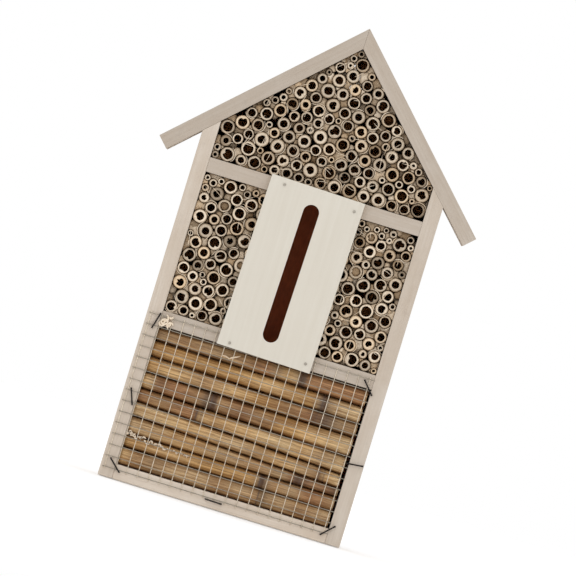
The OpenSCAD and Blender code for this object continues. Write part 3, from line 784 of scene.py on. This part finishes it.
def looseFibres(name, bay, stalks, walls, rng):
    verts, faces, shades = [], [], []
    for stalk in stalks:
        if rng.random() > fibreLook["sheathShare"] or stalk["outer"] < 0.0028:
            continue
        begin, span = rng.random() * math.tau, 0.7 + 2.0 * rng.random()
        radius = stalk["outer"] * (1.0 + 0.07 * rng.random())
        path, radii = [], []
        for i in range(15):
            t = i / 14
            a = begin + span * t
            r = radius + 0.0006 * (t - 0.5) ** 2 * rng.random()
            r = min(r, wallReach(walls, stalk["x"], stalk["z"], math.cos(a), math.sin(a)) - 0.0002)
            y = stalk["front"] - 0.0001 + 0.0006 * (t - 0.3) ** 2
            path.append(Vector((stalk["x"] + r * math.cos(a), y, stalk["z"] + r * math.sin(a))))
            radii.append(0.00004 + 0.00022 * math.sin(math.pi * t) ** 0.6)
        shade = (0.5, 0.7 + 0.3 * rng.random(), rng.random(), 1)
        sweep(path, radii, fibreLook["sides"], verts, faces, shades, shade, 1.8)
    made = 0
    while made < fibreLook["strays"][bay]:
        stalk = rng.choice(stalks)
        a, length = rng.random() * math.tau, 0.003 + 0.008 * rng.random()
        x = stalk["x"] + stalk["outer"] * math.cos(a * 3)
        z = stalk["z"] + stalk["outer"] * math.sin(a * 3)
        bend = (rng.random() - 0.5) * 0.9
        path, radii = [], []
        for i in range(11):
            t = i / 10
            turn = a + bend * t
            path.append(Vector((x, stalk["front"] - 0.0004 - 0.0009 * math.sin(math.pi * t), z)))
            radii.append(0.00003 + 0.00013 * math.sin(math.pi * t) ** 0.5)
            x += math.cos(turn) * length / 10
            z += math.sin(turn) * length / 10
        ends = (path[0], path[-1])
        if any(far - nx * p.x - nz * p.z < 0.0005 for p in ends for nx, nz, far in walls):
            continue
        made += 1
        shade = (0.52, 0.75 + 0.25 * rng.random(), rng.random(), 1)
        sweep(path, radii, fibreLook["sides"], verts, faces, shades, shade)
    addPiece(name, verts, faces, materials["reed"], colours=shades)


def fillBays():
    rng = random.Random(tubeLook["seed"])
    walls = bayWalls()
    for bay in ("gable", "left", "right"):
        names = sorted(n for n in nodes if n.startswith(bay + "_tubes"))
        facts = {n: stalkFacts(n) for n in names}
        everyone = [s for n in names for s in facts[n]]
        table = np.array([(s["x"], s["z"], s["outer"]) for s in everyone])
        for n in names:
            reedTubes(n, facts[n], table, walls[bay], tubeLook["paleness"][bay], rng)
        fronts = [s["front"] for s in everyone]
        shardsBetween(bay, [tuple(row) for row in table], fronts, walls[bay], rng)
        looseFibres(bay + "Fibres", bay, everyone, walls[bay], rng)


fillBays()
print("reed tubes, shards and fibres made")


# bamboo canes

caneTints = {
    "honey": (0.40, 0.243, 0.098), "straw": (0.50, 0.337, 0.171), "biscuit": (0.43, 0.305, 0.178),
    "tan": (0.33, 0.205, 0.102), "chestnut": (0.225, 0.12, 0.055), "umber": (0.125, 0.062, 0.028),
    "rust": (0.315, 0.168, 0.078), "ash": (0.31, 0.21, 0.118), "smoke": (0.14, 0.09, 0.058),
    "pale": (0.55, 0.41, 0.245),
}
frontCanes = {   # where each tint stands, from the left end to the right end
    "front_cane_1": (
        (0, "straw"), (0.08, "tan"), (0.16, "ash"), (0.24, "biscuit"), (0.38, "biscuit"),
        (0.46, "tan"), (0.58, "biscuit"), (0.66, "tan"), (0.67, "ash"), (0.74, "biscuit"),
        (0.86, "tan"), (1, "biscuit"),
    ),
    "front_cane_2": (
        (0, "honey"), (0.2, "straw"), (0.4, "honey"), (0.61, "honey"), (0.635, "ash"),
        (0.645, "smoke"), (0.66, "umber"), (0.67, "ash"), (0.72, "tan"), (0.8, "ash"),
        (0.88, "rust"), (1, "tan"),
    ),
    "front_cane_3": (
        (0, "biscuit"), (0.3, "straw"), (0.45, "biscuit"), (0.6, "tan"), (0.74, "ash"),
        (0.78, "chestnut"), (0.81, "umber"), (0.9, "chestnut"), (1, "umber"),
    ),
    "front_cane_4": (
        (0, "pale"), (0.3, "straw"), (0.5, "biscuit"), (0.7, "straw"), (0.86, "biscuit"),
        (0.9, "tan"), (0.92, "straw"), (1, "pale"),
    ),
    "front_cane_5": (
        (0, "rust"), (0.1, "tan"), (0.25, "rust"), (0.28, "chestnut"), (0.295, "straw"),
        (0.5, "straw"), (0.7, "pale"), (0.8, "straw"), (0.88, "biscuit"), (1, "pale"),
    ),
    "front_cane_6": (
        (0, "straw"), (0.04, "biscuit"), (0.07, "chestnut"), (0.16, "rust"), (0.26, "tan"),
        (0.31, "smoke"), (0.345, "umber"), (0.355, "tan"), (0.48, "chestnut"), (0.56, "tan"),
        (0.7, "honey"), (0.82, "straw"), (1, "pale"),
    ),
    "front_cane_7": (
        (0, "honey"), (0.12, "straw"), (0.28, "tan"), (0.4, "straw"), (0.55, "honey"),
        (0.68, "tan"), (0.78, "rust"), (0.8, "chestnut"), (0.85, "smoke"), (0.93, "ash"),
        (1, "tan"),
    ),
    "front_cane_8": (
        (0, "honey"), (0.35, "honey"), (0.6, "straw"), (0.775, "honey"), (0.785, "ash"),
        (0.82, "smoke"), (0.832, "umber"), (0.84, "ash"), (0.88, "biscuit"), (1, "pale"),
    ),
    "front_cane_9": (
        (0, "ash"), (0.14, "tan"), (0.3, "ash"), (0.42, "tan"), (0.52, "rust"), (0.58, "ash"),
        (0.63, "straw"), (0.675, "biscuit"), (0.685, "umber"), (0.7, "smoke"), (0.715, "chestnut"),
        (0.74, "rust"), (1, "rust"),
    ),
}
caneLook = {
    "around": 44, "along": 64, "seed": 21, "bow": 0.00015, "slim": 0.972, "gain": (1.18, 1.12, 0.98),
    "paintedEdgeShade": (0.62, 0.74, 0.84),   # share of red, green and blue lost as painted shade where a cane turns away towards its neighbours
    "nearNode": (-4, -3, -2.2, -1.7, -1.3, -1, -0.7, -0.4, -0.15, 0.15, 0.4, 0.7, 1, 1.4, 2, 3, 4.5),
}


def caneEnds(corners):
    # both ends of a cane, their radii, and where its node is
    along = corners[:, 0]

    def endOf(pick):
        ring = corners[pick]
        middle = (ring.min(0) + ring.max(0)) / 2
        return middle, (ring[:, 1].max() - ring[:, 1].min()) / 2

    first, firstRadius = endOf(along < along.min() + 0.0022)
    last, lastRadius = endOf(along > along.max() - 0.0022)
    first[0], last[0] = along.min(), along.max()
    share = (along - first[0]) / (last[0] - first[0])
    axisY = first[1] + (last[1] - first[1]) * share
    axisZ = first[2] + (last[2] - first[2]) * share
    fromAxis = np.hypot(corners[:, 1] - axisY, corners[:, 2] - axisZ)
    # between the ends, only the wall inside the node has corners this close to the axis
    nodeWall = (share > 0.05) & (share < 0.95) & (fromAxis < 0.75 * min(firstRadius, lastRadius))
    ringAt = float(along[nodeWall].mean()) if nodeWall.any() else (first[0] + last[0]) / 2
    return first, firstRadius, last, lastRadius, ringAt


def bambooCane(corners, tintStops, rng, verts, faces, shades, stretch=0.0):
    around, along = caneLook["around"], caneLook["along"]
    first, r0, last, r1, ringX = caneEnds(corners)
    last[0] += stretch
    length = last[0] - first[0]
    bore = min(r0, r1) * 0.5
    seed = rng.random() * 40
    places = [place for place, tint in tintStops]
    gain = caneLook["gain"]
    tints = [Vector(caneTints[tint][c] * gain[c] for c in range(3)) for place, tint in tintStops]
    stations = [i / along for i in range(along + 1)]
    stations += [(ringX - first[0] + d / 1000) / length for d in caneLook["nearNode"]]
    stations = sorted(s for s in stations if 0 <= s <= 1)
    start = len(verts)

    def tintAt(s):
        i = max(j for j in range(len(tints)) if places[j] <= s or j == 0)
        if i == len(tints) - 1:
            return tints[i]
        t = (s - places[i]) / (places[i + 1] - places[i])
        return tints[i].lerp(tints[i + 1], t * t * (3 - 2 * t))

    def addRing(x, middle, radius, tint, mark, rough=1.0):
        for i in range(around):
            a = math.tau * i / around
            ca, sa = math.cos(a), math.sin(a)
            r = radius * (1 - rough * 0.008 * (1 + wobble(ca * 3, sa * 3, x * 12, seed)))
            verts.append((x, middle[1] + r * ca, middle[2] + r * sa))
            # painted shade: each cane is darkened where it turns towards its neighbours above and below,
            # more on its underside
            groove = min(1.0, max(0.0, (abs(sa) - 0.62) / 0.34)) if rough else 0.0
            groove = groove * groove * (3 - 2 * groove)
            worn = 1 + 0.10 * wobble(x * 26, sa * 1.6, ca * 1.6, seed + 7)
            deep = groove * (1.0 if sa < 0 else 0.7)
            paintedShadeTint = (tint[c] * worn * (1 - lost * deep) for c, lost in enumerate(caneLook["paintedEdgeShade"]))
            shades.append((*paintedShadeTint, mark))

    def middleAt(s):
        point = first + (last - first) * s
        sag = caneLook["bow"] * math.sin(math.pi * s) * math.sin(seed)
        return point + np.array([0, sag, sag * 0.6])

    # the bore behind the left cut is painted dark as shade, darker deeper in
    for back, radius, tint in ((0.005, bore, tints[0] * 0.12), (0.0001, bore, tints[0] * 0.5),
                               (0, r0 * 0.93, tints[0] * 1.1)):
        addRing(first[0] + back, first, radius, tint, 0.5, 0)
    for s in stations:
        x = first[0] + length * s
        radius = (r0 + (r1 - r0) * s) * caneLook["slim"]
        away = (x - ringX) / 0.001
        swell = math.exp(-(away / 1.0) ** 2)
        groove = math.exp(-((away + 1.25) / 0.35) ** 2)
        radius *= 1 - 0.03 * groove + 0.022 * swell
        fromFirst, fromLast = s * length, (1 - s) * length
        radius *= 1 - 0.03 * sum(math.exp(-(gap / 0.0005) ** 2) for gap in (fromFirst, fromLast))
        stain = math.exp(-((away - 0.3) / 2.6) ** 2)
        tint = tintAt(s) * (1 - 0.3 * stain)
        # fresh saw cuts leave the very ends pale
        tint = tint.lerp(Vector(caneTints["pale"]) * 1.6, 0.8 * math.exp(-(fromLast / 0.0009) ** 2))
        mark = 0.55 + 0.45 * min(1.0, groove + 0.8 * math.exp(-((away - 1.7) / 0.4) ** 2))
        addRing(x, middleAt(s), radius, tint, mark)
    # after the pale cut face, the bore behind the right cut is painted dark as shade, darker deeper in
    for back, radius, tint in ((0, r1 * 0.92, Vector(caneTints["straw"]) * 1.45),
                               (0.0001, bore, tints[-1] * 0.6), (0.005, bore, tints[-1] * 0.12)):
        addRing(last[0] - back, last, radius, tint, 0.5, 0)
    skinRings(faces, start, (len(verts) - start) // around, around)


def layCanes():
    rng = random.Random(caneLook["seed"])
    for nodeName in sorted(nodes):
        front = nodeName.startswith("front_cane")
        if not front and not nodeName.startswith("cane_stack"):
            continue
        verts, faces, shades = [], [], []
        for corners in loosePieces(nodeName):
            stops = frontCanes.get(nodeName) or [(i / 4, rng.choice(list(caneTints))) for i in range(5)]
            # saw cuts are uneven, but stop short of the staple's free leg
            stretch = 0.0
            if front and nodeName not in ("front_cane_4", "front_cane_5"):
                stretch = 0.0004 + 0.0007 * rng.random()
            bambooCane(corners, stops, rng, verts, faces, shades, stretch)
        addPiece(nodeName + "_bamboo", verts, faces, materials["bamboo"], (nodeName,),
                 colours=shades)


layCanes()
print("bamboo canes made")


# welded wire mesh, its staples and the shavings caught in it

wireLook = {
    "thickness": 0.9, "wave": 0.00007, "sides": 10, "step": 0.0017, "seed": 8,
    "uprightPaintedLight": 0.85, "crossPaintedShade": 0.12, "sunk": 0.0001,
}
stapleLook = {"wire": 0.00045, "bend": 0.0004, "bow": 0.00012, "point": (0.00012, 0.00042), "sides": 10}


def weldedMesh():
    rng = random.Random(wireLook["seed"])
    verts, faces, shades = [], [], []
    uprights, crosses = [], []
    for corners in loosePieces("wire_mesh"):
        low, high = corners.min(0), corners.max(0)
        (uprights if high[2] - low[2] > high[0] - low[0] else crosses).append((low, high))
    crossAt = [(low[2] + high[2]) / 2 for low, high in crosses]
    uprightAt = [(low[0] + high[0]) / 2 for low, high in uprights]
    # uprights are painted near the lit tone and crosses near the shaded tone of the same zinc
    groups = ((uprights, 2, crossAt, wireLook["uprightPaintedLight"]),
              (crosses, 0, uprightAt, wireLook["crossPaintedShade"]))
    for group, axis, welds, tone in groups:
        for low, high in group:
            middle = (low + high) / 2
            radius = (high[1] - low[1]) / 2 * wireLook["thickness"]
            count = int((high[axis] - low[axis]) / wireLook["step"])
            seed, path, radii = rng.random() * 60, [], []
            for i in range(count + 1):
                place = low[axis] + (high[axis] - low[axis]) * i / count
                point = Vector(middle)
                point[axis] = place
                near = min(abs(place - w) for w in welds)
                free = min(1.0, near / 0.002)
                point[2 - axis] += wireLook["wave"] * wobble(place * 110, seed, 0) * free
                # the crosses lean against the uprights and are sunk into them at each weld
                sunk = wireLook["sunk"] if axis == 0 else 0.0
                point.y += 0.00002 * wobble(place * 160, seed, 5) + sunk
                path.append(point)
                radii.append(radius * (1 + 0.10 * math.exp(-(near / 0.0007) ** 2)))
            shade = (tone + 0.15 * rng.random(), rng.random(), 0, 1)
            sweep(path, radii, wireLook["sides"], verts, faces, shades, shade)
    addPiece("weldedWires", verts, faces, materials["meshZinc"], ("wire_mesh",),
             colours=shades)


def staplePath(heart, side, half, depth):
    # leg, bend, crown, bend, leg
    bend, inward, legShares = stapleLook["bend"], Vector((0, 1, 0)), (1, 0.97, 0.6, 0.3, 0.12)

    def corner(sign, a):
        reach = half - bend + bend * math.cos(a)
        return heart + side * sign * reach + inward * (bend - bend * math.sin(a))

    path = [heart - side * half + inward * depth * t for t in legShares]
    path += [corner(-1, math.pi / 2 * i / 4) for i in range(5)]
    for i in range(1, 8):
        bow = stapleLook["bow"] * math.sin(math.pi * i / 8)
        path.append(heart + side * half * (i / 4 - 1) + inward * bow)
    path += [corner(1, math.pi / 2 * (1 - i / 4)) for i in range(5)]
    return path + [heart + side * half + inward * depth * t for t in reversed(legShares)]


def bentStaples():
    verts, faces, shades = [], [], []
    wire = stapleLook["wire"]
    for corners in loosePieces("mesh_staples"):
        front, deep = corners[:, 1].min(), corners[:, 1].max()
        crown = corners[corners[:, 1] < front + 0.0012]
        middle = (crown.min(0) + crown.max(0)) / 2
        flat = crown[:, (0, 2)] - middle[[0, 2]]
        spread = np.linalg.eigh(flat.T @ flat)[1][:, 1]   # the way the crown runs
        half = float(np.abs(flat @ spread).max()) - wire
        side = Vector((spread[0], 0, spread[1]))
        path = staplePath(Vector((middle[0], front + wire, middle[2])), side, half, float(deep - front))
        point = list(stapleLook["point"])
        radii = point + [wire] * (len(path) - 4) + point[::-1]
        sweepLoop(path, radii, stapleLook["sides"], verts, faces, shades, (0.5, 0.5, 0, 1), side)
    addPiece("bentStaples", verts, faces, materials["darkSteel"], ("mesh_staples",),
             colours=shades)


def sweepLoop(path, radii, sides, verts, faces, shades, shade, side):
    # a rod whose path stays in the plane of side and the depth axis
    start = len(verts)
    across = side.cross(Vector((0, 1, 0))).normalized()
    for j, point in enumerate(path):
        ahead = (path[min(j + 1, len(path) - 1)] - path[max(j - 1, 0)]).normalized()
        lift = ahead.cross(across).normalized()
        for i in range(sides):
            a = math.tau * i / sides
            verts.append(tuple(point + across * math.cos(a) * radii[j] + lift * math.sin(a) * radii[j]))
            shades.append(shade)
    skinRings(faces, start, len(path), sides)


shavingLook = {
    "seed": 31, "curls": 9, "crumbs": 26, "curlSize": (0.0009, 0.0012), "crumbSize": (0.0006, 0.0009),
    "splinters": (   # right of the panel's corner, below it, length, slope, thickness
        (0.0128, 0.0036, 0.0068, 0.6, 0.0005), (0.0082, 0.0048, 0.0056, -0.05, 0.00038),
    ),
}


def curls(rng, wall, verts, faces, shades):
    # pale curls at the mesh's upper left corner
    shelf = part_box("lower_shelf")[0]
    for _ in range(shavingLook["curls"]):
        x = wall + 0.001 + 0.006 * rng.random()
        z = shelf.z + 0.001 + 0.0065 * rng.random()
        turn, size = rng.random() * math.tau, atRandom(rng, shavingLook["curlSize"])
        path, radii = [], []
        for i in range(22):
            t = i / 21
            a = turn + t * (2.4 + 1.8 * (size > 0.0014))
            r = size * (0.5 + 0.7 * t)
            path.append(Vector((x + r * math.cos(a), shelf.y - 0.0004 - 0.0012 * t, z + r * math.sin(a))))
            radii.append(0.00018 + 0.00055 * math.sin(math.pi * t) ** 0.5)
        sweep(path, radii, 6, verts, faces, shades, (0.55, 1, rng.random() * 0.3, 1), 1.6)


def crumbs(rng, wall, verts, faces, shades):
    # sawdust that lies along a low cane
    low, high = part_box("front_cane_2")
    for i in range(shavingLook["crumbs"]):
        t = i / shavingLook["crumbs"]
        x = wall + 0.0015 + 0.040 * t ** 1.5
        z = high.z + 0.0008 - 0.004 * t + 0.0014 * (rng.random() - 0.5) * (1.4 - t)
        turn, size = rng.random() * math.tau, atRandom(rng, shavingLook["crumbSize"]) * (1.15 - 0.5 * t)
        y = low.y - 0.0001 + 0.0006 * t
        path, radii = [], []
        for j in range(12):
            a = turn + j / 11 * (1.5 + 2.5 * rng.random())
            path.append(Vector((x + size * math.cos(a), y, z + size * 0.8 * math.sin(a))))
            radii.append(0.00012 + 0.00042 * math.sin(math.pi * j / 11) ** 0.5)
        sweep(path, radii, 6, verts, faces, shades, (0.6, 1, 0.2 + 0.3 * rng.random(), 1), 1.3)


def splinters(verts, faces, shades):
    # two splinters held behind the mesh, below the panel
    panel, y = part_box("butterfly_panel")[0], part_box("wire_mesh")[0].y + 0.0011
    for right, below, length, slope, thick in shavingLook["splinters"]:
        path, radii = [], []
        for j in range(9):
            t = j / 8
            along = length * (t - 0.5)
            path.append(Vector((panel.x + right + along, y,
                                panel.z - below + along * slope + 0.0002 * math.sin(6 * t))))
            radii.append(0.00004 + thick * math.sin(math.pi * min(1, t + 0.1)) ** 0.6)
        sweep(path, radii, 6, verts, faces, shades, (0.55, 0.9, 0.8, 1), 0.7)


def shavings():
    rng = random.Random(shavingLook["seed"])
    verts, faces, shades = [], [], []
    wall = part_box("left_wall")[1].x
    curls(rng, wall, verts, faces, shades)
    crumbs(rng, wall, verts, faces, shades)
    splinters(verts, faces, shades)
    addPiece("caughtShavings", verts, faces, materials["reed"], colours=shades)


weldedMesh()
bentStaples()
shavings()
print("wire mesh, staples and shavings made")


# stage, light and camera

stageLook = {"floorSize": 6.0, "glow": 0.16}


def paperLook():
    bench = materialBench("paperFloor")
    tooth = bench.grainNoise(bench.coords(), 300.0, 3, 0.5)
    bench.join(bench.ramp(tooth, [(0.3, (0.92, 0.92, 0.92)), (0.7, (0.94, 0.94, 0.94))]),
               bench.shader.inputs["Base Color"])
    bench.shader.inputs["Roughness"].default_value = 0.9
    bench.shader.inputs["Emission Color"].default_value = (1, 1, 1, 1)
    bench.shader.inputs["Emission Strength"].default_value = stageLook["glow"]
    return bench.material


def makeStage():
    half = stageLook["floorSize"] / 2
    mesh = bpy.data.meshes.new("studioFloor")
    corners = [(-half, -half, 0), (half, -half, 0), (half, half, 0), (-half, half, 0)]
    mesh.from_pydata(corners, [], [(0, 1, 2, 3)])
    floor = bpy.data.objects.new("studioFloor", mesh)
    bpy.context.scene.collection.objects.link(floor)
    mesh.materials.append(paperLook())
    floor.location.z = cadBox[0][2] - 0.0005


lightLook = {
    "keyLight": {"place": (-0.9, -1.6, 1.5), "size": 1.0, "power": 3.2},
    "fillLight": {"place": (1.2, -1.5, 0.7), "size": 1.6, "power": 0.6},
}
skyLook = {"aimHeight": 0.15, "white": (1, 1, 1, 1), "strength": 1.0}


def softLight(name):
    look = lightLook[name]
    data = bpy.data.lights.new(name, "AREA")
    data.shape = "RECTANGLE"
    data.size = data.size_y = look["size"]
    data.energy = look["power"]
    lamp = bpy.data.objects.new(name, data)
    bpy.context.scene.collection.objects.link(lamp)
    lamp.location = look["place"]
    towards = Vector((0, 0, skyLook["aimHeight"])) - Vector(look["place"])
    lamp.rotation_euler = towards.to_track_quat("-Z", "Y").to_euler()


def makeSky():
    world = bpy.data.worlds.new("studio")
    world.use_nodes = True
    background = world.node_tree.nodes["Background"]
    background.inputs["Color"].default_value = skyLook["white"]
    background.inputs["Strength"].default_value = skyLook["strength"]
    bpy.context.scene.world = world
    bpy.context.scene.view_settings.view_transform = "Standard"


cameraSetting = {"distance": 9.0, "aim": (0.0009, 0.0, 0.1386), "roll": 17.0, "lens": 944.1, "sensor": 36}


def makeCamera():
    data = bpy.data.cameras.new("camera")
    data.lens = cameraSetting["lens"]
    data.sensor_width = cameraSetting["sensor"]
    data.clip_start = 0.05
    camera = bpy.data.objects.new("camera", data)
    bpy.context.scene.collection.objects.link(camera)
    aim = Vector(cameraSetting["aim"])
    place = aim + Vector((0, -cameraSetting["distance"], 0))
    level = Matrix.Rotation(math.pi / 2, 4, "X")
    roll = Matrix.Rotation(math.radians(cameraSetting["roll"]), 4, "Z")
    camera.matrix_world = Matrix.Translation(place) @ level @ roll
    bpy.context.scene.camera = camera


makeStage()
for lamp in lightLook:
    softLight(lamp)
makeSky()
makeCamera()
print("stage, lights and camera set")
